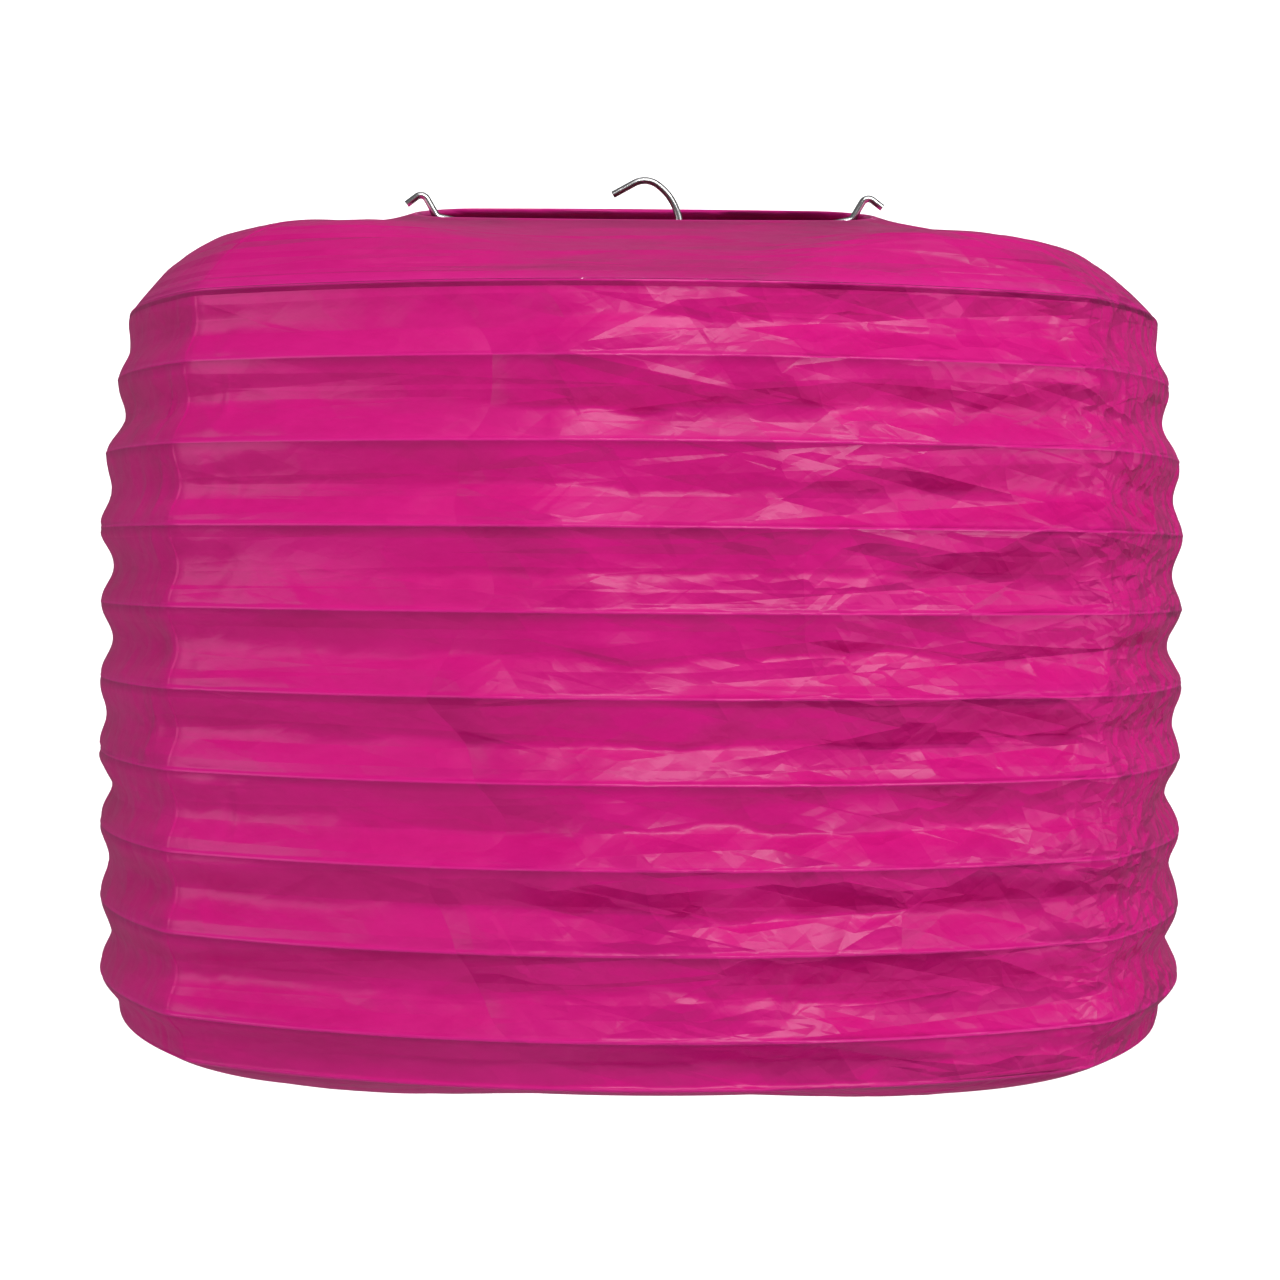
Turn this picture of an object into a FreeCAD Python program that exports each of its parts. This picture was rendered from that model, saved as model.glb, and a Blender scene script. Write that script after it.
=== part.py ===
"""Square accordion paper lantern on its wire expander, with a hanging hook. Millimetres, +Z up.

The origin is the hang point, under the top of the hook's bowl, on the lantern's upright axis. +X runs along
the hanger bar and +Y to the back. Thirteen square wires carry a paper skin, which is cut at the wires into
twelve bands, so that each band can fold between its two wires. The stretcher frame holds the two opening
wires apart, the hanger bar is welded to its legs, and the hook's eye turns on the middle of that bar.
"""

import FreeCAD, Part

import math
import os

from FreeCAD import Vector

# Plan of the wires, on their centrelines
BODY_HALF = 120.0  # axis to the middle of a full-size side
BODY_BOW = 28.0  # how far the middle of a full-size side bows out past its corners
BODY_CORNER_R = 12.0
OPENING_HALF = 52.0  # axis to the middle of a side of either opening
OPENING_BOW = 8.0
OPENING_CORNER_R = 9.0
TOP_TILT = 8.5  # degrees the top opening leans down to the front, on the hanger bar's clips
RIB_INSETS = (6.0, 3.5, 1.0, 0.0, 0.0, 0.0, 0.0, 0.0, 0.0, 0.0, 4.5)  # each rib's side, in from BODY_HALF

# Heights, from the hang point down
RING_DROP = 7.4  # hang point to the middle of the top opening
ROOF_HEIGHT = 26.2  # top opening to the first rib
SHOULDER_PITCH = 13.9  # first rib to the second
RIB_PITCH = 15.95  # between the full-size ribs
HEM_PITCH = 9.5  # last full-size rib to the bottom rib
FLOOR_HEIGHT = 13.2  # bottom rib to the bottom opening

# Stock
RIB_WIRE_D = 1.0
OPENING_WIRE_D = 1.2
FRAME_WIRE_D = 1.6
PAPER = 0.2  # wall of the paper
PAPER_SAG = 2.5  # how far a band dips in between two wires
ROOF_PUFF = 7.0  # how far the top band stands out between its wires
FLOOR_PUFF = 2.0  # and the bottom band
PAPER_GAP = 0.3  # bare wire between a band's edge and the wire that carries it
SLANT_SLACK = 0.12  # more of it on a level band, which is shorter at its corners than at its sides

# Stretcher frame
LEG_INSET = 6.5  # leg, in from the side of the opening
WIRE_GAP = 0.35  # between the frame's jaws and an opening wire
JAW_REACH = 1.9  # where a jaw's two runs meet, past the centre of the opening wire, before they are bent round
JAW_BEND_R = 1.2
JAW_THROAT = 5.2  # inner end of a jaw, in from the side of the opening
JAW_HEIGHT = 8.0  # leg's straight part to the jaw
FOOT_DROP = 3.0  # bottom opening to the foot bar
FRAME_BEND_R = 3.0
WELD_SINK = 0.2  # how far the frame and the hanger bar are sunk into each other, where they are welded
WELD_REACH = 0.5  # share of a clip's arm that the frame's end is welded along

# Hanger bar
CLIP_APEX_UP = 5.2  # top of a clip, over the plane of the opening
CLIP_APEX_IN = 1.5  # and in from the side of the opening
CLIP_TAIL_OUT = 2.2  # end of a clip's tail, out from the side of the opening
CLIP_TAIL_UP = 2.4
CLIP_BEND_R = 1.6
ARM_FOOT_IN = 4.8  # foot of a clip's arm, in from the side of the opening
ARM_FOOT_DOWN = 0.4
BAR_KNEE_IN = 12.0  # where the bar turns down towards the saddle, in from the side of the opening
BAR_KNEE_DOWN = 1.9
BAR_KNEE_R = 6.0
SADDLE_HALF = 3.5  # half the straight seat for the hook's eye
SADDLE_BEND_R = 2.0

# Hook
TIP_LENGTH = 5.5
TIP_SLOPE = 29.0  # degrees below the horizontal
CROWN_R = 5.0
CROWN_END = 35.0  # degrees below the horizontal, where the crown meets the flank
FLANK_R = 12.0
NECK_TURN = 70.0  # degrees the wire turns back in under the flank, and out again to the shank
UPPER_NECK_R = 5.0
LOWER_NECK_R = 4.0
SHANK = 0.6
EYE_R = 3.2
EYE_NECK_R = 2.0
EYE_TURN = 305.0  # degrees
EYE_SLACK = 0.25  # under the saddle, inside the eye

BAND_SECTIONS = (0.0, 0.25, 0.5, 0.75, 1.0)  # shares of the way down a band, from edge to edge
UP = Vector(0, 0, 1)
WELD_SIDE = (FRAME_WIRE_D - WELD_SINK) / 2  # axis to the frame on one side, and to the hanger bar on the other


def heights():
    """Height of each wire, from the top opening to the bottom opening."""
    pitches = [ROOF_HEIGHT, SHOULDER_PITCH] + [RIB_PITCH] * (len(RIB_INSETS) - 3) + [HEM_PITCH, FLOOR_HEIGHT]
    levels = [-RING_DROP]
    for pitch in pitches:
        levels.append(levels[-1] - pitch)
    return levels


def opening_plan():
    """Half width, bow and corner radius of an opening wire."""
    return OPENING_HALF, OPENING_BOW, OPENING_CORNER_R


def rib_plan(inset):
    """Half width, bow and corner radius of a rib: a smaller rib keeps the full-size rib's shape."""
    share = (BODY_HALF - inset) / BODY_HALF
    return BODY_HALF - inset, BODY_BOW * share, BODY_CORNER_R * share


def plan_wire(plan, z, offset=0.0):
    """Closed plan of four bowed sides and four round corners at height z, moved out by offset."""
    half, bow, corner_r = plan
    corner = half - bow
    side_r = (corner * corner + bow * bow) / (2 * bow)
    back = side_r - half  # a side's centre of curvature lies this far past the axis
    reach = side_r - corner_r
    k = (-back + math.sqrt(2 * reach * reach - back * back)) / 2  # corner centres are at (k, k)
    turn = math.atan2(k, back + k)  # half the angle that a side's arc spans
    edges = []
    for quarter in range(4):
        heading = math.radians(-90 + 90 * quarter)
        out = Vector(math.cos(heading), math.sin(heading), 0)
        along = Vector(-out.y, out.x, 0)
        centre = out * -back + UP * z
        r = side_r + offset

        def on_side(angle):
            return centre + out * (r * math.cos(angle)) + along * (r * math.sin(angle))

        edges.append(Part.Arc(on_side(-turn), on_side(0), on_side(turn)).toShape())
        corner_centre = (out + along) * k + UP * z
        mid = (out + along).normalize() * (corner_r + offset)
        next_out, next_along = along, -out
        next_start = next_out * (r * math.cos(turn) - back) - next_along * (r * math.sin(turn)) + UP * z
        edges.append(Part.Arc(on_side(turn), corner_centre + mid, next_start).toShape())
    return Part.Wire(edges)


def leaning(shape, z, tilt):
    """The shape turned by tilt degrees about the left-to-right line at height z, so that its front drops."""
    turned = shape.copy()
    turned.rotate(UP * z, Vector(1, 0, 0), tilt)
    return turned


def sweep(path, start, direction, diameter):
    """Round wire of that diameter along a path that starts at start, in that direction."""
    section = Part.Wire(Part.makeCircle(diameter / 2, start, direction))
    return path.makePipeShell([section], True, True)


def square_wire(plan, z, tilt, diameter):
    """One closed square wire, leaning by tilt degrees."""
    path = plan_wire(plan, z)
    edge = path.Edges[0]
    section = Part.Wire(Part.makeCircle(diameter / 2, edge.valueAt(edge.FirstParameter),
                                        edge.tangentAt(edge.FirstParameter)))
    return leaning(path.makePipeShell([section], True, False), z, tilt)


def bent_path(points, radii):
    """Straight runs through the points, with a bend of each inner point's radius."""
    edges, at = [], points[0]
    for before, here, after, r in zip(points, points[1:], points[2:], radii):
        back, on = (before - here).normalize(), (after - here).normalize()
        half = back.getAngle(on) / 2
        cut = r / math.tan(half)
        centre = here + (back + on).normalize() * (r / math.sin(half))
        first, last = here + back * cut, here + on * cut
        edges.append(Part.LineSegment(at, first).toShape())
        edges.append(Part.Arc(first, centre + (here - centre).normalize() * r, last).toShape())
        at = last
    edges.append(Part.LineSegment(at, points[-1]).toShape())
    return Part.Wire(edges)


def bent_wire(points, radii, diameter):
    """Round wire through the points, with a bend of each inner point's radius."""
    return sweep(bent_path(points, radii), points[0], points[1] - points[0], diameter)


def mirrored(points):
    """The points of a right half, from its outer end to the middle, followed by their mirror images."""
    return points + [Vector(-p.x, p.y, p.z) for p in reversed(points)]


def stretcher_frame(top, bottom):
    """U-shaped frame: foot bar, two legs, and a jaw against each opening wire at either end of each leg."""
    y = WELD_SIDE
    leg, nose, throat = OPENING_HALF - LEG_INSET, OPENING_HALF + JAW_REACH, OPENING_HALF - JAW_THROAT
    below = OPENING_WIRE_D / 2 + WIRE_GAP + FRAME_WIRE_D / 2
    arm = arm_points(top)
    weld_end = arm[2] + (arm[1] - arm[2]) * WELD_REACH
    half = [
        Vector(weld_end.x, y, weld_end.z),
        Vector(throat, y, top - below),
        Vector(nose, y, top - below),
        Vector(leg, y, top - below - JAW_HEIGHT),
        Vector(leg, y, bottom + below + JAW_HEIGHT),
        Vector(nose, y, bottom + below),
        Vector(throat, y, bottom + below),
        Vector(throat, y, bottom - FOOT_DROP),
    ]
    radii = [JAW_BEND_R, JAW_BEND_R, FRAME_BEND_R, FRAME_BEND_R, JAW_BEND_R, JAW_BEND_R, FRAME_BEND_R]
    return bent_wire(mirrored(half), radii + radii[::-1], FRAME_WIRE_D)


def arm_points(top):
    """Tail, apex and arm foot of the right clip, which goes over the top opening wire."""
    return [
        Vector(OPENING_HALF + CLIP_TAIL_OUT, 0, top + CLIP_TAIL_UP),
        Vector(OPENING_HALF - CLIP_APEX_IN, 0, top + CLIP_APEX_UP),
        Vector(OPENING_HALF - ARM_FOOT_IN, 0, top - ARM_FOOT_DOWN),
    ]


def hanger_bar(top, saddle):
    """Bar across the top opening: a clip at each end, and a straight saddle in the middle for the hook."""
    y = -WELD_SIDE
    half = [Vector(p.x, y, p.z) for p in arm_points(top)] + [
        Vector(OPENING_HALF - BAR_KNEE_IN, y, top - BAR_KNEE_DOWN),
        Vector(SADDLE_HALF + SADDLE_BEND_R, y, saddle),
    ]
    radii = [CLIP_BEND_R, CLIP_BEND_R, BAR_KNEE_R, SADDLE_BEND_R]
    return bent_wire(mirrored(half), radii + radii[::-1], FRAME_WIRE_D)


def hook_path():
    """Path of the hook, from its tip over the crown and down to the eye, and the height of the eye's centre."""
    y = -WELD_SIDE
    edges, at, heading = [], None, math.radians(TIP_SLOPE)

    def direction(angle):
        return Vector(math.cos(angle), 0, math.sin(angle))

    def bend(turn_degrees, r):
        """Arc in the plane of the bowl: a negative turn is to the right."""
        nonlocal at, heading
        side = 1 if turn_degrees > 0 else -1
        centre = at + direction(heading + side * math.pi / 2) * r
        turn = math.radians(turn_degrees)
        points = [centre + direction(heading + share * turn - side * math.pi / 2) * r for share in (0.5, 1)]
        edges.append(Part.Arc(at, *points).toShape())
        at, heading = points[1], heading + turn

    def run(length):
        nonlocal at
        end = at + direction(heading) * length
        edges.append(Part.LineSegment(at, end).toShape())
        at = end

    crown = Vector(0, y, FRAME_WIRE_D / 2)
    crown_start = crown + Vector(-CROWN_R * math.sin(heading), 0, -CROWN_R * (1 - math.cos(heading)))
    at = crown_start - direction(heading) * TIP_LENGTH
    run(TIP_LENGTH)
    bend(-TIP_SLOPE - CROWN_END, CROWN_R)
    bend(CROWN_END - 90, FLANK_R)
    neck = math.radians(NECK_TURN)
    offset = at.x - (UPPER_NECK_R + LOWER_NECK_R) * (1 - math.cos(neck))
    bend(-NECK_TURN, UPPER_NECK_R)
    run(offset / math.sin(neck))
    bend(NECK_TURN, LOWER_NECK_R)
    run(SHANK)
    # The eye stands across the bowl: a small neck, then most of a circle.
    drop = math.sqrt(EYE_R * EYE_R + 2 * EYE_NECK_R * EYE_R)
    eye = at - UP * drop
    neck_centre = at + Vector(0, EYE_NECK_R, 0)
    lean = math.atan2(drop, EYE_NECK_R)

    def around(centre, r, angle):
        return centre + Vector(0, math.cos(angle), math.sin(angle)) * r

    touch = around(neck_centre, EYE_NECK_R, math.pi + lean)
    edges.append(Part.Arc(at, around(neck_centre, EYE_NECK_R, math.pi + lean / 2), touch).toShape())
    turn = math.radians(EYE_TURN)
    for first, last in ((0, 0.5), (0.5, 1)):
        points = [around(eye, EYE_R, lean - turn * share) for share in (first, (first + last) / 2, last)]
        edges.append(Part.Arc(*points).toShape())
    return Part.Wire(edges), eye.z


def hanging_hook():
    """Wire hook, with an eye for the saddle of the hanger bar."""
    path, _ = hook_path()
    start = path.Edges[0]
    return sweep(path, start.valueAt(start.FirstParameter), start.tangentAt(start.FirstParameter), FRAME_WIRE_D)


def saddle_height():
    """Height of the hanger bar's saddle: it rests on the bottom of the hook's eye."""
    _, eye = hook_path()
    return eye - (EYE_R - FRAME_WIRE_D) + EYE_SLACK


def between(plan_a, plan_b, share):
    """Plan part of the way from one wire's plan to the next."""
    return tuple(a + (b - a) * share for a, b in zip(plan_a, plan_b))


def paper_band(upper, lower, puff):
    """Thin paper band between two wires, each given as (plan, height, tilt, wire diameter).

    Half way down it stands puff out from the straight line between the wires, or in, if puff is negative.
    """
    (plan_a, z_a, tilt_a, d_a), (plan_b, z_b, tilt_b, d_b) = upper, lower
    run, fall = plan_b[0] - plan_a[0], z_b - z_a
    length = math.hypot(run, fall)
    out = Vector(-fall, 0, run) / length  # outward normal of the band in its upright section
    gap = PAPER_GAP + SLANT_SLACK * abs(run) / length
    first, last = (d_a / 2 + gap) / length, 1 - (d_b / 2 + gap) / length

    def skin(side):
        """Plans down one face of the paper, side half a wall out or in."""
        sections = []
        for share in BAND_SECTIONS:
            at = first + (last - first) * share
            off = side * PAPER / 2 + puff * 4 * share * (1 - share)
            z = z_a + fall * at
            section = plan_wire(between(plan_a, plan_b, at), z + out.z * off, out.x * off)
            sections.append(leaning(section, z, tilt_a + (tilt_b - tilt_a) * at))
        return sections

    loop = skin(1) + skin(-1)[::-1]
    faces = []
    for plan_in, plan_on in zip(loop, loop[1:] + loop[:1]):
        faces += [Part.makeRuledSurface(*edges) for edges in zip(plan_in.Edges, plan_on.Edges)]
    shell = Part.makeShell(faces)
    shell.sewShape()
    band = Part.makeSolid(Part.Shell(shell.Faces))
    return band if band.Volume > 0 else band.reversed()


def wires():
    """Every square wire from the top down, as (name, plan, height, tilt, diameter)."""
    levels = heights()
    rows = [("top_ring", opening_plan(), levels[0], TOP_TILT, OPENING_WIRE_D)]
    for number, inset in enumerate(RIB_INSETS, 1):
        rows.append((f"rib_{number:02d}", rib_plan(inset), levels[number], 0.0, RIB_WIRE_D))
    rows.append(("bottom_ring", opening_plan(), levels[-1], 0.0, OPENING_WIRE_D))
    return rows


def build():
    """Every sub-part by its node name."""
    rows = wires()
    parts = {name: square_wire(*shape) for name, *shape in rows}
    puffs = [ROOF_PUFF] + [-PAPER_SAG] * (len(rows) - 3) + [FLOOR_PUFF]
    for number, (upper, lower, puff) in enumerate(zip(rows, rows[1:], puffs), 1):
        parts[f"paper_band_{number:02d}"] = paper_band(upper[1:], lower[1:], puff)
    top, bottom = rows[0][2], rows[-1][2]
    parts["stretcher_frame"] = stretcher_frame(top, bottom)
    parts["hanger_bar"] = hanger_bar(top, saddle_height())
    parts["hanging_hook"] = hanging_hook()
    return parts


os.makedirs("parts", exist_ok=True)
for node, shape in build().items():
    shape.exportStep(f"parts/{node}.step")
    box = shape.BoundBox
    print(f"{node}: valid {shape.isValid()}, {len(shape.Solids)} solid, {shape.Volume:.1f} mm3, "
          f"z {box.ZMin:.1f} to {box.ZMax:.1f}, x {box.XMin:.1f} to {box.XMax:.1f}")
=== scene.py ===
"""Square accordion paper lantern: crumpled pink tissue over square wires, on a bright wire expander."""

import math

import bpy
import numpy as np
from mathutils import Euler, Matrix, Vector


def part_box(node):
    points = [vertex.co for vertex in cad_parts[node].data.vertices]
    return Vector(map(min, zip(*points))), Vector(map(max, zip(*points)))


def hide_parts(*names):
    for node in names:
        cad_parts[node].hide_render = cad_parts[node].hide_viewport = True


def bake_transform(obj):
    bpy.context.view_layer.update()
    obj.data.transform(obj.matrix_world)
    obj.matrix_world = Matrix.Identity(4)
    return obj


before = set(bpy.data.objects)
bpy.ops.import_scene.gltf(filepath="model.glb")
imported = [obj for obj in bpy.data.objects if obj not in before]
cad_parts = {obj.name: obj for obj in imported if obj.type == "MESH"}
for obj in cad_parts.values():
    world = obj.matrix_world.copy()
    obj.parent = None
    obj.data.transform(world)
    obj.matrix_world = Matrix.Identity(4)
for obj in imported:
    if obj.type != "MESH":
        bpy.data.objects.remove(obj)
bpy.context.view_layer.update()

# The wires and the finished mesh are in metres. The paper's own patterns are worked out in mm.
MM = 0.001
RIB_COUNT = 11
RIB_WIRE = 1.0 * MM
OPENING_WIRE = 1.2 * MM
PAPER_OFF_WIRE = 0.15 * MM  # paper's face outside the wire it is glued to
BODY_BOW = 28.0 / 120.0  # bow of a rib's side, as a share of its half width
BODY_CORNER = 12.0 / 120.0  # radius of a rib's corner, as a share of its half width
OPENING_BOW = 8.0 / 52.0
OPENING_CORNER = 9.0 / 52.0
PANELS = 4  # the skin's panels, from the front round by the right
SIDE_COLUMNS = 210
CORNER_COLUMNS = 10  # half a corner
PANEL_COLUMNS = SIDE_COLUMNS + 2 * CORNER_COLUMNS
COLUMNS = PANELS * PANEL_COLUMNS


# ---------------------------------------------------------------- the wires' plans

class Ring:
    """Plan, height and lean of one square wire, read off its CAD node."""

    def __init__(self, node, wire, bow, corner):
        low, high = (np.array(c, float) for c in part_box(node))
        self.node = node
        self.wire = wire
        self.half = (high[0] - low[0] - wire) / 2
        self.z = (high[2] + low[2]) / 2
        self.lean = math.asin(max(0.0, high[2] - low[2] - wire) / (2 * self.half))
        self.bow = bow * self.half
        self.corner_r = corner * self.half


def fan(out, along, first, last, count):
    """Unit directions that turn from first to just short of last, where 0 is out."""
    angle = np.linspace(first, last, count, endpoint=False)
    return np.outer(np.cos(angle), out) + np.outer(np.sin(angle), along)


def plan(half, bow, corner_r):
    """Points and outward normals round a bowed square, from the front left corner round by the right."""
    corner = half - bow
    side_r = (corner * corner + bow * bow) / (2 * bow)
    back = side_r - half
    reach = side_r - corner_r
    corner_at = (-back + math.sqrt(2 * reach * reach - back * back)) / 2
    turn = math.atan2(corner_at, back + corner_at)
    points, normals = [], []
    for panel in range(PANELS):
        heading = math.radians(-90 + 90 * panel)
        out = np.array((math.cos(heading), math.sin(heading)))
        along = np.array((-out[1], out[0]))
        before = fan(out, along, -math.pi / 4, -turn, CORNER_COLUMNS)
        side = fan(out, along, -turn, turn, SIDE_COLUMNS)
        after = fan(out, along, turn, math.pi / 4, CORNER_COLUMNS)
        points += [before * corner_r + (out - along) * corner_at, side * side_r - out * back,
                   after * corner_r + (out + along) * corner_at]
        normals += [before, side, after]
    return np.concatenate(points), np.concatenate(normals)


RINGS = ([Ring("top_ring", OPENING_WIRE, OPENING_BOW, OPENING_CORNER)]
         + [Ring(f"rib_{n:02d}", RIB_WIRE, BODY_BOW, BODY_CORNER) for n in range(1, RIB_COUNT + 1)]
         + [Ring("bottom_ring", OPENING_WIRE, OPENING_BOW, OPENING_CORNER)])
FULL_RIB = max(RINGS, key=lambda ring: ring.half)

# A band has the number of the ring at its lower edge.
ROOF = 1
FLOOR = len(RINGS) - 1


def panel_places():
    """Each column's panel, its distance in mm from that panel's middle on a full rib, and a panel's width."""
    points, _ = plan(FULL_RIB.half, FULL_RIB.bow, FULL_RIB.corner_r)
    steps = np.linalg.norm(np.roll(points, -1, axis=0) - points, axis=1) / MM
    start = np.concatenate([[0.0], np.cumsum(steps)])[:-1].reshape(PANELS, PANEL_COLUMNS)
    width = steps.sum() / PANELS
    x = start - start[:, :1] - width / 2
    return np.repeat(np.arange(PANELS), PANEL_COLUMNS), x.reshape(-1), width


PANEL, ACROSS, PANEL_WIDTH = panel_places()


# ---------------------------------------------------------------- the crumple of the tissue

GRID = 64  # values each way in a pattern, before it repeats

# How high the creases stand, in mm. Large and medium ones stand so high where a panel is busy.
LARGE_CREASE = 1.25
MEDIUM_CREASE = 0.5
SMALL_CREASE = 0.10
SMALL_CREASE_ON_SLOPE = 0.2  # more of the small ones on the bands that slope, such as the roof and the floor
LEVEL_CREASE = 0.10
LEVEL_CREASE_ON_SLOPE = 0.4
EDGE_CREASE = 0.5  # tight upright ones along the panel's edges

# How busy the panels are with creases. The front is quiet on its left and busy from its middle to its right.
QUIET_SHARE = 0.30
BUSY_FROM, BUSY_BY = -48, 12
OTHER_SHARE = 0.60
OTHER_UNEVEN = 0.40
EDGE_FROM, EDGE_BY = 26, 10  # where the tight creases start and are full, in from a panel's edge

# The inward fold of a band, in shares of the way down.
VALLEY = 0.54
VALLEY_WAVE = 0.09
VALLEY_JOG = 0.05
SOFT_FOLD = 0.40  # crispness of the fold on the quiet side
CRISPER_FOLD = 0.50  # more of it from the middle on
CRISP_FROM, CRISP_BY = -70, -10


def cell(u, v):
    """Indexes of the grid's four values round u and v, and the place between them."""
    i, j = np.floor(u).astype(int), np.floor(v).astype(int)
    return i % GRID, j % GRID, (i + 1) % GRID, (j + 1) % GRID, u - np.floor(u), v - np.floor(v)


def grid_values(seed):
    return np.random.default_rng(seed).uniform(-1, 1, (GRID, GRID))


def waves(u, v, seed):
    """Smooth unevenness, from -1 to 1, one cell wide for each unit of u and v."""
    h = grid_values(seed)
    i, j, i1, j1, f, g = cell(u, v)
    f, g = f * f * (3 - 2 * f), g * g * (3 - 2 * g)
    return h[i, j] * (1 - f) * (1 - g) + h[i1, j] * f * (1 - g) + h[i, j1] * (1 - f) * g + h[i1, j1] * f * g


def facets(u, v, seed):
    """Flat triangular facets that meet in sharp creases, from -1 to 1."""
    h = grid_values(seed)
    i, j, i1, j1, f, g = cell(u, v)
    near = h[i, j] + (h[i1, j] - h[i, j]) * f + (h[i, j1] - h[i, j]) * g
    far = h[i1, j1] + (h[i, j1] - h[i1, j1]) * (1 - f) + (h[i1, j] - h[i1, j1]) * (1 - g)
    return np.where(f + g < 1, near, far)


def creased(x, y, long, wide, slant, seed):
    """Facets about long by wide mm, with their long way slanted by that many degrees, on bent lines."""
    bend = 0.55 * long
    x = x + bend * waves(x / (1.7 * long), y / (2.3 * wide), seed + 1)
    y = y + 0.5 * wide * waves(x / (1.3 * long), y / (2.9 * wide), seed + 2)
    c, s = math.cos(math.radians(slant)), math.sin(math.radians(slant))
    return facets((x * c + y * s) / long, (y * c - x * s) / wide, seed)


def rise(value, first, last):
    """0 up to first, 1 from last, smooth between."""
    t = np.clip((value - first) / (last - first), 0, 1)
    return t * t * (3 - 2 * t)


def crumple(panel, x, y, fine):
    """How far the paper stands out at x across and y down a panel, in mm.

    fine is 0 on a band as wide at its top as at its bottom, and grows where it slopes.
    """
    seed = 100 * (panel + 1)
    if panel == 0:
        border = 16 * waves(y / 22.0, x / 60.0, seed + 60)
        busy = QUIET_SHARE + (1 - QUIET_SHARE) * rise(x + border, BUSY_FROM, BUSY_BY)
    else:
        busy = OTHER_SHARE + OTHER_UNEVEN * waves(x / 45.0, y / 35.0, seed + 61)
    edge = rise(np.abs(x), PANEL_WIDTH / 2 - EDGE_FROM, PANEL_WIDTH / 2 - EDGE_BY)
    large = creased(x, y, long=30, wide=10, slant=14, seed=seed)
    medium = creased(x + 31, y + 7, long=14, wide=6.0, slant=-29, seed=seed + 10)
    small = creased(x, y, long=7.0, wide=3.4, slant=31, seed=seed + 20)
    level = creased(x, y, long=75, wide=3.2, slant=1.5, seed=seed + 40)
    tight = creased(x, y, long=3.6, wide=6.5, slant=12, seed=seed + 50)
    return (LARGE_CREASE * busy * large + MEDIUM_CREASE * busy * medium
            + (SMALL_CREASE + SMALL_CREASE_ON_SLOPE * fine) * busy * small
            + (LEVEL_CREASE + LEVEL_CREASE_ON_SLOPE * fine) * level + EDGE_CREASE * edge * tight)


def pleat(x, v, number, panel):
    """Depth of a band's inward fold, from 0 at the wires to 1 in the valley, which wanders up and down."""
    seed = 40 * number + panel
    valley = (VALLEY + VALLEY_WAVE * waves(x / 16.0, 0.5 * number, seed + 300)
              + VALLEY_JOG * facets(x / 9.0, x / 23.0, seed + 320))
    folded = np.minimum(v / valley, (1 - v) / (1 - valley))
    soft = 4 * v * (1 - v)
    border = 10 * waves(x / 30.0, number, seed + 340)
    crisp = SOFT_FOLD + CRISPER_FOLD * rise(x + border, CRISP_FROM, CRISP_BY)
    return soft + (folded - soft) * crisp


# ---------------------------------------------------------------- the paper skin

BAND_ROWS = 21
ROOF_ROWS = 58
FLOOR_ROWS = 46
WRAP_ROWS = 4  # rows round a rib's wire
RIM_ROWS = 9  # rows round an opening's wire
RIM_TURN = math.radians(190)  # how far the paper goes round an opening's wire
HEM = 6.0  # paper turned over an opening's wire and glued back, in mm
HEM_STEPS = (1.0, 0.75, 0.5, 0.3)  # rows of the hem, from its free edge
HEM_INSIDE = 0.9  # hem under the band, as a share of the paper's distance from the wire's centre
HEM_SPREAD = 0.05  # slope of the hem away from the band
LAP = 9.0  # overlap of two panels at a corner, in mm
LAP_EDGE = 1.0  # width of the step where the upper panel ends, in mm
LAP_STEP = 0.22
SIDE_SAG = 2.9  # how far a side band dips in between its wires, in mm
UNDER_ROOF_SAG = 1.9
OVER_HEM_SAG = 1.5
SAG_SLOPE = 3.4  # slope at which the paper leaves a wire, for a sag as deep as the band is high
SKIN_OVER_HEIGHT = 1.2  # length of skin for each mm of height, which sets each band's place in the patterns
FULLNESS = 0.55  # the crumples grow from the wires with this power of a half wave
ROOF_CRUMPLE = 0.42  # share of the crumple's height on the roof
FLOOR_CRUMPLE = 0.22
SAG_UNEVEN = 0.28
BLUNT_SAG = 0.8  # depth of the round dish that the fold turns into towards the front's edges
BLUNT_FROM, BLUNT_BY = 0.26, 0.46  # shares of a panel's width from its middle
TAUT_FROM, TAUT_BY = 9.0, 1.0  # where the paper starts to be taut and is taut, in mm from a panel's edge

# How far the roof and the floor stand out from their flat bands, in mm: in the middle of each panel, from the
# front round by the right, and at the corner where each panel begins.
SWELL = {ROOF: ((3.0, 8.0, 7.0, 9.5), (9.2, 7.6, 7.0, 8.5)),
         FLOOR: ((-1.0, 4.0, 1.5, 4.0), (2.2, 2.2, 2.0, 2.5))}
SWELL_CREST = {ROOF: 1.45, FLOOR: 0.75}  # over 1 puts the crest nearer to the lower wire
SWELL_FROM, SWELL_BY = 0.10, 0.42  # where the corner's swell takes over, in shares of a panel's width


def flat_direction(upper, lower):
    """Outward normal and down direction, as (out, up) pairs, and length of a flat band between two rings."""
    run, fall = lower.half - upper.half, upper.z - lower.z
    length = math.hypot(run, fall)
    return np.array((fall, run)) / length, np.array((run, -fall)) / length, length


def lean_at(out, neighbour_out, down):
    """Angle from a band's normal up to the ridge line that it shares with its neighbour."""
    ridge = out + neighbour_out
    return math.atan2(-(ridge @ down), ridge @ out)


def sag_of(number):
    """How far a band dips in between its wires, in mm."""
    return {ROOF: 0.0, ROOF + 1: UNDER_ROOF_SAG, FLOOR - 1: OVER_HEM_SAG, FLOOR: 0.0}.get(number, SIDE_SAG)


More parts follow.
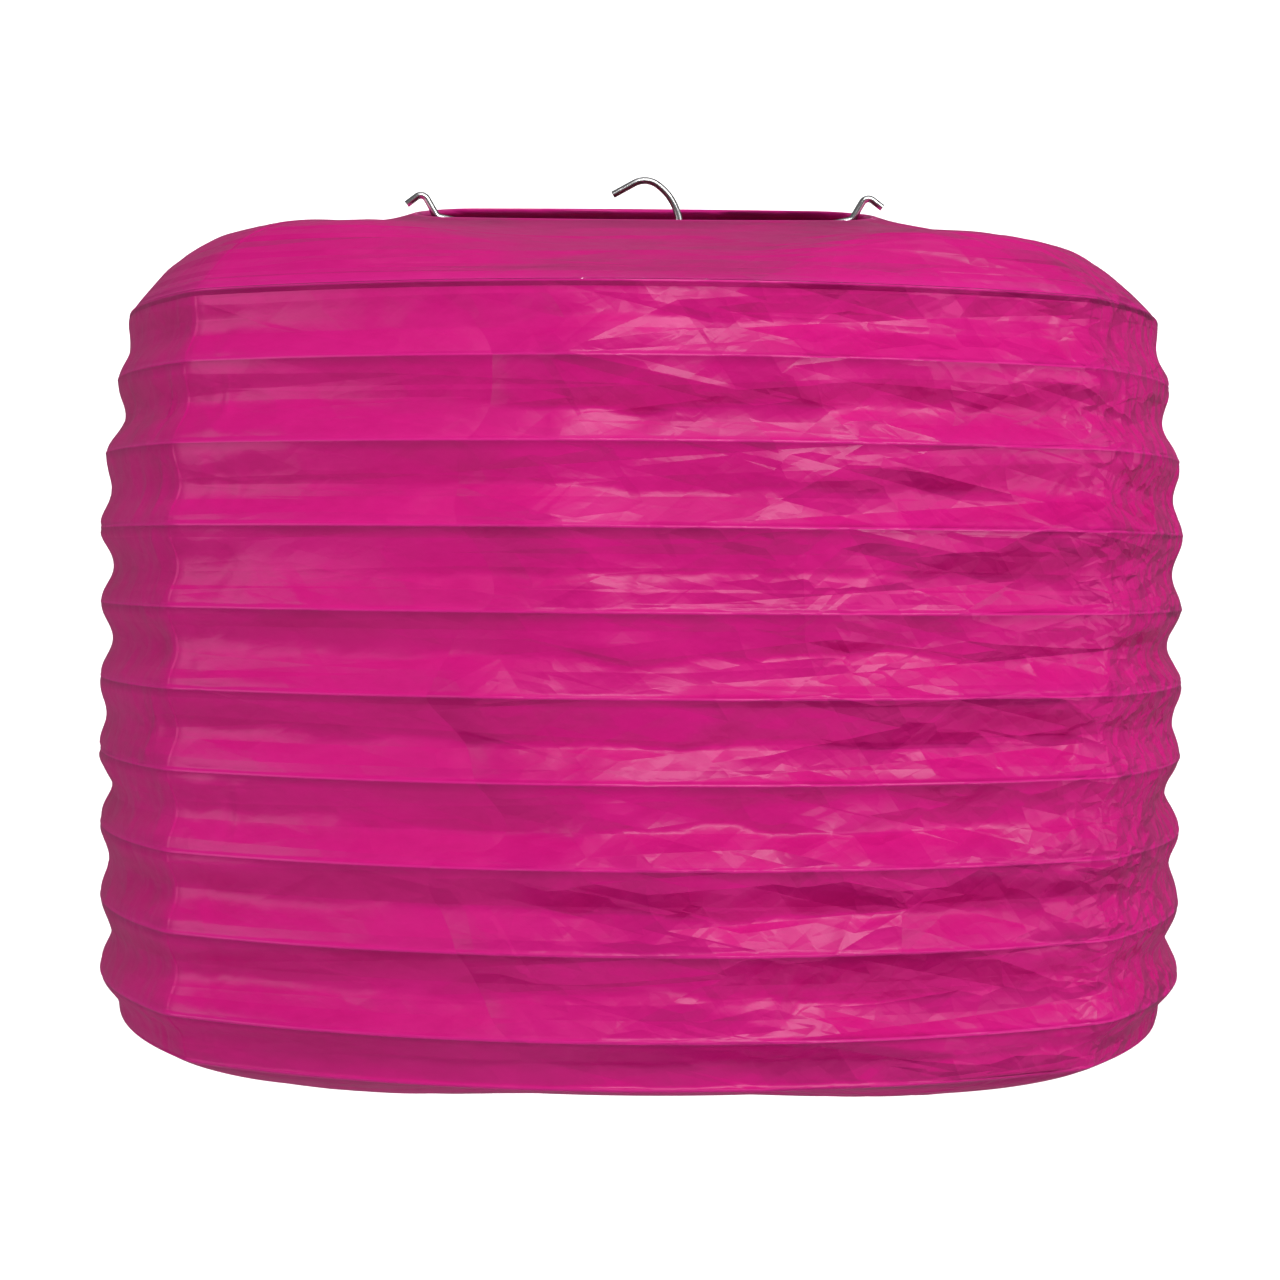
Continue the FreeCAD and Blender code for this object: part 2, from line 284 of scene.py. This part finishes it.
def swell(number, panel, x, v):
    """How far the roof or the floor stands off the flat band, in mm, at x across and v of the way down."""
    middles, corners = SWELL[number]
    corner = np.where(x < 0, corners[panel], corners[(panel + 1) % PANELS])
    side = rise(np.abs(x), SWELL_FROM * PANEL_WIDTH, SWELL_BY * PANEL_WIDTH)
    return (middles[panel] + (corner - middles[panel]) * side) * math.sin(math.pi * v ** SWELL_CREST[number])


def band_rows(number):
    """Rows of a band: share of the way down, height off the flat band in mm, and free share.

    The free share runs from 0 to 1 between the wires, and is 0 where the paper lies on one.
    """
    upper, lower = RINGS[number - 1], RINGS[number]
    out, down, length = flat_direction(upper, lower)
    length_mm = length / MM
    slope = math.atan(SAG_SLOPE * sag_of(number) / length_mm)
    count = {ROOF: ROOF_ROWS, FLOOR: FLOOR_ROWS}.get(number, BAND_ROWS)
    r_upper = (upper.wire / 2 + PAPER_OFF_WIRE) / MM
    r_lower = (lower.wire / 2 + PAPER_OFF_WIRE) / MM
    rows = []

    def wrap(edge, r, first, last, steps, keep_last):
        """Rows round the wire at the edge with that share of the way down."""
        for angle in np.linspace(first, last, steps, endpoint=keep_last):
            rows.append((edge - r * math.sin(angle) / length_mm, r * math.cos(angle), 0.0))

    def hem(edge, inward, r, steps):
        """Rows of the hem that is glued back under the band."""
        for step in steps:
            far = HEM * step
            rows.append((edge + inward * far / length_mm, -r * HEM_INSIDE - HEM_SPREAD * far, 0.0))

    if number == ROOF:
        hem(0.0, 1, r_upper, HEM_STEPS)
        wrap(0.0, r_upper, RIM_TURN, -slope, RIM_ROWS, False)
    else:
        out_before, _, _ = flat_direction(RINGS[number - 2], upper)
        wrap(0.0, r_upper, lean_at(out, out_before, down), -slope, WRAP_ROWS, False)
    first = r_upper * math.sin(slope) / length_mm
    last = 1 - r_lower * math.sin(slope) / length_mm
    for v in np.linspace(0, 1, count):
        off = r_upper * math.cos(slope) * (1 - v) + r_lower * math.cos(slope) * v
        rows.append((first + (last - first) * v, off, v if v < 1 else 0.0))
    if number == FLOOR:
        wrap(1.0, r_lower, slope, -RIM_TURN, RIM_ROWS, True)
        hem(1.0, -1, r_lower, HEM_STEPS[::-1])
    else:
        out_after, _, _ = flat_direction(lower, RINGS[number + 1])
        wrap(1.0, r_lower, slope, lean_at(out, out_after, down), WRAP_ROWS, True)
    return rows


def stand_off(number, panel, row, half):
    """How far one panel's paper stands off the flat band along a row of that half width, in mm."""
    share, off, v = row
    full_x = ACROSS[PANEL == panel]
    if v == 0:
        return np.full(full_x.shape, off)
    upper, lower = RINGS[number - 1], RINGS[number]
    _, _, length = flat_direction(upper, lower)
    x = full_x * half / FULL_RIB.half
    y = np.full(x.shape, (RINGS[0].z - upper.z) / MM * SKIN_OVER_HEIGHT + share * length / MM)
    freedom = math.sin(math.pi * v) ** FULLNESS
    loose = 1 - rise(np.abs(full_x), PANEL_WIDTH / 2 - TAUT_FROM, PANEL_WIDTH / 2 - TAUT_BY)

    dish = BLUNT_SAG * (0.5 - 0.5 * math.cos(2 * math.pi * v))
    if panel == 0:
        fold = pleat(x, v, number, panel)
        dish = fold + (dish - fold) * rise(np.abs(x), BLUNT_FROM * PANEL_WIDTH, BLUNT_BY * PANEL_WIDTH)
    deep = 1 + SAG_UNEVEN * loose * waves(x / 38.0, y / 60.0 + 3 * number, 700 + panel)
    stand = off - sag_of(number) * deep * dish
    if number in SWELL:
        stand = stand + swell(number, panel, full_x, share)

    fine = 1 - min(upper.half, lower.half) / max(upper.half, lower.half)
    height = {ROOF: ROOF_CRUMPLE, FLOOR: FLOOR_CRUMPLE}.get(number, 1.0) * freedom * loose
    stand = stand + height * crumple(panel, x, y, fine)
    lap_from = PANEL_WIDTH / 2 * half / FULL_RIB.half - LAP
    lap = rise(x + 1.2 * waves(y / 9.0, y / 31.0, 800 + panel), lap_from, lap_from + LAP_EDGE)
    return stand + LAP_STEP * lap * freedom


def band_mesh(number):
    """Points of a band's rows, and each point's share of the way down."""
    upper, lower = RINGS[number - 1], RINGS[number]
    out, _, _ = flat_direction(upper, lower)
    points, shares = [], []
    for row in band_rows(number):
        share = row[0]
        half = upper.half + (lower.half - upper.half) * share
        bow = upper.bow + (lower.bow - upper.bow) * share
        corner_r = upper.corner_r + (lower.corner_r - upper.corner_r) * share
        lean = upper.lean * (1 - share) + lower.lean * share
        z_base = upper.z + (lower.z - upper.z) * share
        level, normal = plan(half, bow, corner_r)
        off = np.concatenate([stand_off(number, panel, row, half) for panel in range(PANELS)]) * MM
        xy = level + normal * (out[0] * off)[:, None]
        z = out[1] * off
        y_leaned = xy[:, 1] * math.cos(lean) - z * math.sin(lean)
        z_leaned = z_base + xy[:, 1] * math.sin(lean) + z * math.cos(lean)
        points.append(np.stack([xy[:, 0], y_leaned, z_leaned], axis=1))
        shares.append(np.full(COLUMNS, min(1.0, max(0.0, share))))
    return np.array(points), np.array(shares)


def grid_object(name, points, shares):
    """Mesh of rows of points that close round the lantern."""
    rows, columns, _ = points.shape
    i, j = np.meshgrid(np.arange(rows - 1), np.arange(columns), indexing="ij")
    k = (j + 1) % columns
    corners = [i * columns + j, (i + 1) * columns + j, (i + 1) * columns + k, i * columns + k]
    faces = np.stack(corners, axis=-1).reshape(-1, 4)
    mesh = bpy.data.meshes.new(name)
    mesh.from_pydata(points.reshape(-1, 3).tolist(), [], faces.tolist())
    mesh.polygons.foreach_set("use_smooth", np.ones(len(mesh.polygons), bool))
    share = mesh.attributes.new("band_share", "FLOAT", "POINT")
    share.data.foreach_set("value", shares.reshape(-1).astype(np.float32))
    mesh.update()
    piece = bpy.data.objects.new(name, mesh)
    bpy.context.scene.collection.objects.link(piece)
    return piece


FOLD_ALLOWANCE = 1.1  # paper from wire to wire, of the straight distance


def strip_size(number):
    """Width and length of the strip of paper that makes a band, and its area, flat."""
    upper, lower = RINGS[number - 1], RINGS[number]

    def girth(ring):
        level, _ = plan(ring.half, ring.bow, ring.corner_r)
        return np.linalg.norm(np.roll(level, -1, axis=0) - level, axis=1).sum()

    _, _, length = flat_direction(upper, lower)
    depth = length * FOLD_ALLOWANCE + (HEM * MM if number in (ROOF, FLOOR) else 0)
    wide, narrow = max(girth(upper), girth(lower)), min(girth(upper), girth(lower))
    return depth, wide, depth * (wide + narrow) / 2


# ---------------------------------------------------------------- materials

class Signal:
    """A shader value that adds Math nodes as it is worked out."""

    def __init__(self, paint, socket):
        self.paint = paint
        self.socket = socket

    def _math(self, operation, *values):
        return self.paint.node("ShaderNodeMath", {"operation": operation}, dict(enumerate(values)))["Value"]

    def __add__(self, other):
        return self._math("ADD", self, other)

    def __radd__(self, other):
        return self._math("ADD", other, self)

    def __sub__(self, other):
        return self._math("SUBTRACT", self, other)

    def __rsub__(self, other):
        return self._math("SUBTRACT", other, self)

    def __mul__(self, other):
        return self._math("MULTIPLY", self, other)

    def __rmul__(self, other):
        return self._math("MULTIPLY", other, self)

    def __truediv__(self, other):
        return self._math("DIVIDE", self, other)

    def __rtruediv__(self, other):
        return self._math("DIVIDE", other, self)

    def __pow__(self, other):
        return self._math("POWER", self, other)

    def __abs__(self):
        return self._math("ABSOLUTE", self)

    def clamp(self):
        """The value, held between 0 and 1."""
        return self._math("MINIMUM", self._math("MAXIMUM", self, 0.0), 1.0)


class Outputs:
    """A node's outputs, by name or by number."""

    def __init__(self, paint, node):
        self.paint = paint
        self.node = node

    def __getitem__(self, name):
        return Signal(self.paint, self.node.outputs[name])


class Paint:
    """A material's nodes."""

    def __init__(self, name):
        self.material = bpy.data.materials.new(name)
        self.material.use_nodes = True
        self.tree = self.material.node_tree
        self.shader = self.tree.nodes["Principled BSDF"]

    def join(self, socket, value):
        """Link or set one socket."""
        if isinstance(value, Signal):
            self.tree.links.new(value.socket, socket)
        else:
            socket.default_value = value

    def node(self, kind, settings=None, values=None):
        """Outputs of a new node, with its settings made first and its sockets linked or set next."""
        made = self.tree.nodes.new(kind)
        for name, value in (settings or {}).items():
            setattr(made, name, value)
        for name, value in (values or {}).items():
            self.join(made.inputs[name], value)
        return Outputs(self, made)

    def set(self, **values):
        """Link or set the shader's own sockets."""
        for name, value in values.items():
            self.join(self.shader.inputs[name.replace("_", " ")], value)

    def mix(self, share, first, second):
        """Colour between first and second."""
        return self.node("ShaderNodeMix", {"data_type": "RGBA"}, {0: share, 6: first, 7: second})[2]

    def place(self, stretch=(1.0, 1.0, 1.0), turn=(0.0, 0.0, 0.0)):
        """The place on the object, stretched and turned."""
        here = self.node("ShaderNodeTexCoord")["Object"]
        values = {"Vector": here, "Scale": stretch, "Rotation": turn}
        return self.node("ShaderNodeMapping", {}, values)["Vector"]

    def noise(self, scale, detail=2.0, rough=0.5, where=None, distortion=0.0):
        """Soft cloudy pattern, from 0 to 1."""
        values = {"Scale": scale, "Detail": detail, "Roughness": rough, "Distortion": distortion}
        if where is not None:
            values["Vector"] = where
        return self.node("ShaderNodeTexNoise", {}, values)["Fac"]

    def creases(self, scale, stretch, turn):
        """Flat facets that meet in sharp creases, on a slope of 1, stretched and then turned about Y."""
        where = self.place(stretch, (0.0, turn, 0.0))
        return self.node("ShaderNodeTexVoronoi", {"feature": "F1", "distance": "MANHATTAN"},
                         {"Scale": scale, "Vector": where, "Randomness": 1.0})["Distance"] / scale

    def bump(self, height, strength, distance):
        """Normal of a surface with that height."""
        values = {"Height": height, "Strength": strength, "Distance": distance}
        return self.node("ShaderNodeBump", {}, values)["Normal"]


# Colours of the dyed tissue.
DEEP_PINK = (0.63, 0.0046, 0.192, 1.0)
CLEAR_PINK = (0.80, 0.0080, 0.262, 1.0)
FIBRE_PINK = (0.86, 0.015, 0.30, 1.0)
RIDGE_HIGHLIGHT_PINK = (0.92, 0.030, 0.38, 1.0)  # painted highlight along the ridges at the wires
UNDER_WIRE_SHADE_PINK = (0.40, 0.0030, 0.115, 1.0)  # painted shade just under a wire
TISSUE_SHINE = 0.32

# Regions of the skin, in metres from the origin.
ROOF_DEPTH = 0.0345  # how far down the roof ends
CRUMPLED_LEFT = 0.030  # how far left of the middle the strong crumples start
CORNER_RIGHT = 0.080  # how far right of the middle the corner's tight crumples start
UNDER_WIRE_SHADE_SHARE = 0.13  # share of a band, from its upper wire, that gets painted shade


def tissue_colour(paint):
    """Uneven dye with pale fibres, a painted highlight along the ridges and painted shade just under a wire.
    """
    share = paint.node("ShaderNodeAttribute", {"attribute_name": "band_share"})["Fac"]
    dye = paint.noise(26.0, detail=3.0, rough=0.6, where=paint.place((1.0, 1.0, 3.2)))
    fibre = paint.noise(900.0, rough=0.6, where=paint.place((0.35, 0.35, 1.0)))
    # ridge marks the band's edges at the wires, where a painted highlight line is mixed into the colour
    ridge = abs(share * 2.0 - 1.0) ** 14.0
    # glued is the mask of the painted shade just under each wire
    glued = ((UNDER_WIRE_SHADE_SHARE - share) * 9.0).clamp() * (share * 60.0).clamp()
    colour = paint.mix((dye * 1.5 - 0.25).clamp(), DEEP_PINK, CLEAR_PINK)
    colour = paint.mix((fibre * 0.5 - 0.12).clamp(), colour, FIBRE_PINK)
    colour = paint.mix((ridge * 0.40).clamp(), colour, RIDGE_HIGHLIGHT_PINK)
    return paint.mix(glued * 0.55, colour, UNDER_WIRE_SHADE_PINK)


def tissue_creases(paint):
    """Height of the tissue's fine creases, in metres."""
    here = paint.node("ShaderNodeSeparateXYZ", {}, {"Vector": paint.place()})
    roof = ((here["Z"] + ROOF_DEPTH) * 300.0).clamp()
    patch = paint.noise(24.0, detail=1.0, where=paint.place())
    crumpled = ((here["X"] + CRUMPLED_LEFT) * 14.0 + patch * 2.0 - 1.0).clamp() * 0.75 + 0.25
    corner = ((here["X"] - CORNER_RIGHT) * 60.0).clamp()
    broad = paint.creases(34.0, (0.42, 0.42, 1.25), 0.22)
    medium = paint.creases(78.0, (0.55, 0.55, 1.2), -0.50)
    small = paint.creases(210.0, (0.7, 0.7, 1.2), 0.6)
    upright = paint.creases(300.0, (1.2, 1.2, 0.5), 0.15)
    level = paint.creases(60.0, (0.07, 0.07, 1.6), 0.03)
    streaks = paint.creases(150.0, (0.06, 0.06, 1.3), -0.05)
    crinkle = paint.noise(420.0, detail=3.0, rough=0.62, where=paint.place((0.45, 0.45, 1.0)), distortion=1.2)
    return (crumpled * (broad * 0.21 + medium * 0.15 + small * 0.06)
            + corner * (small * 0.20 + upright * 0.06)
            + level * (0.06 + roof * 0.14) + roof * streaks * 0.20 + crinkle * 0.00005)


def tissue_paper():
    """Glossy dyed tissue, crinkled all over."""
    paint = Paint("pink_tissue")
    cloud = paint.noise(150.0, detail=3.0, rough=0.6, where=paint.place((1.0, 1.0, 1.4)), distortion=0.4)
    paint.set(Base_Color=tissue_colour(paint), Roughness=0.25 + 0.20 * cloud, Specular_IOR_Level=TISSUE_SHINE,
              Normal=paint.bump(tissue_creases(paint), strength=1.0, distance=1.0))
    return paint.material


def drawn_wire(name, tone, rough):
    """Round steel wire with faint die marks and a little soot in places."""
    paint = Paint(name)
    marks = paint.noise(2600.0, where=paint.place())
    film = paint.noise(160.0, detail=3.0, rough=0.6, where=paint.place())
    bright = (tone, tone, tone * 1.01, 1.0)
    sooty = (tone * 0.72, tone * 0.71, tone * 0.70, 1.0)
    paint.set(Base_Color=paint.mix((film * 1.4 - 0.3).clamp(), bright, sooty), Metallic=1.0,
              Roughness=rough + 0.14 * film, Normal=paint.bump(marks, strength=0.12, distance=0.0001))
    return paint.material


def studio_paint():
    """Pale matt paint of the sweep."""
    paint = Paint("studio_white")
    grain = paint.noise(3.0)
    paint.set(Base_Color=paint.mix(grain, (0.90, 0.90, 0.90, 1.0), (0.93, 0.93, 0.93, 1.0)), Roughness=0.8)
    return paint.material


PAPER = tissue_paper()
RING_WIRE = drawn_wire("drawn_steel", tone=0.56, rough=0.30)
FRAME_WIRE = drawn_wire("bright_steel", tone=0.80, rough=0.16)


def finish_node(node, material):
    """Give a carried CAD node its finish."""
    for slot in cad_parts[node].material_slots:
        slot.material = material


# ---------------------------------------------------------------- the lantern

for number in range(ROOF, FLOOR + 1):
    points, shares = band_mesh(number)
    band = grid_object(f"tissue_band_{number:02d}", points, shares)
    band.data.materials.append(PAPER)
    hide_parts(f"paper_band_{number:02d}")
    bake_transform(band)
    depth, girth, area = strip_size(number)

for ring in RINGS:
    finish_node(ring.node, RING_WIRE)
for node in ("stretcher_frame", "hanger_bar", "hanging_hook"):
    finish_node(node, FRAME_WIRE)


# ---------------------------------------------------------------- studio

BEND_STEPS = 24


def studio_sweep(floor_z, near, far, half_width, bend, top):
    """Floor that curves up into a backdrop."""
    line = [(near, floor_z)]
    for step in range(BEND_STEPS + 1):
        angle = -math.pi / 2 + math.pi / 2 * step / BEND_STEPS
        line.append((far - bend + bend * math.cos(angle), floor_z + bend + bend * math.sin(angle)))
    line.append((far, top))
    points = [(side * half_width, y, z) for y, z in line for side in (-1, 1)]
    faces = [(2 * n, 2 * n + 1, 2 * n + 3, 2 * n + 2) for n in range(len(line) - 1)]
    mesh = bpy.data.meshes.new("studio_sweep")
    mesh.from_pydata(points, [], faces)
    mesh.polygons.foreach_set("use_smooth", np.ones(len(mesh.polygons), bool))
    sweep = bpy.data.objects.new("studio_sweep", mesh)
    bpy.context.scene.collection.objects.link(sweep)
    sweep.data.materials.append(studio_paint())
    sweep.visible_glossy = False


def soft_light(name, place, aim, power, size):
    """Rectangular soft light of that width and height."""
    lamp = bpy.data.lights.new(name, "AREA")
    lamp.shape = "RECTANGLE"
    lamp.size, lamp.size_y = size
    lamp.energy = power
    lit = bpy.data.objects.new(name, lamp)
    lit.location = place
    lit.rotation_euler = (Vector(aim) - Vector(place)).to_track_quat("-Z", "Y").to_euler()
    bpy.context.scene.collection.objects.link(lit)


BODY_MIDDLE = (0.0, 0.0, -0.1)
studio_sweep(floor_z=-0.80, near=-1.6, far=2.2, half_width=4.0, bend=1.0, top=3.2)
soft_light("key", (0.34, -1.05, 0.74), BODY_MIDDLE, 11.8, (1.10, 0.46))
soft_light("fill", (-1.35, -0.6, 0.1), BODY_MIDDLE, 4.9, (1.0, 1.0))
soft_light("side", (1.35, -0.55, 0.1), BODY_MIDDLE, 4.2, (0.9, 0.9))
soft_light("overhead", (0.0, -0.5, 1.4), (0.0, 0.0, 0.0), 2.2, (1.0, 1.0))
soft_light("backdrop", (0.0, 0.9, 1.2), (0.0, 2.2, 0.6), 60.0, (2.8, 0.6))

world = bpy.data.worlds.new("studio")
world.use_nodes = True
background = world.node_tree.nodes["Background"]
background.inputs["Color"].default_value = (0.97, 0.97, 1.0, 1.0)
background.inputs["Strength"].default_value = 0.11
bpy.context.scene.world = world
bpy.context.scene.view_settings.view_transform = "Standard"

# The eye is just under the level of the fourth rib, and looks down by less than two degrees.
AIM = Vector((-0.0004, 0.0, -0.1039))
EYE_DISTANCE = 0.620
EYE_RISE = 0.030  # radians
EYE_ROLL = -0.008
LENS_MM = 76.1
lens = bpy.data.cameras.new("view")
lens.lens = LENS_MM
camera = bpy.data.objects.new("view", lens)
camera.location = AIM + Vector((0.0, -EYE_DISTANCE * math.cos(EYE_RISE), EYE_DISTANCE * math.sin(EYE_RISE)))
camera.rotation_euler = Euler((math.pi / 2 - EYE_RISE, EYE_ROLL, 0.0), "XYZ")
bpy.context.scene.collection.objects.link(camera)
bpy.context.scene.camera = camera
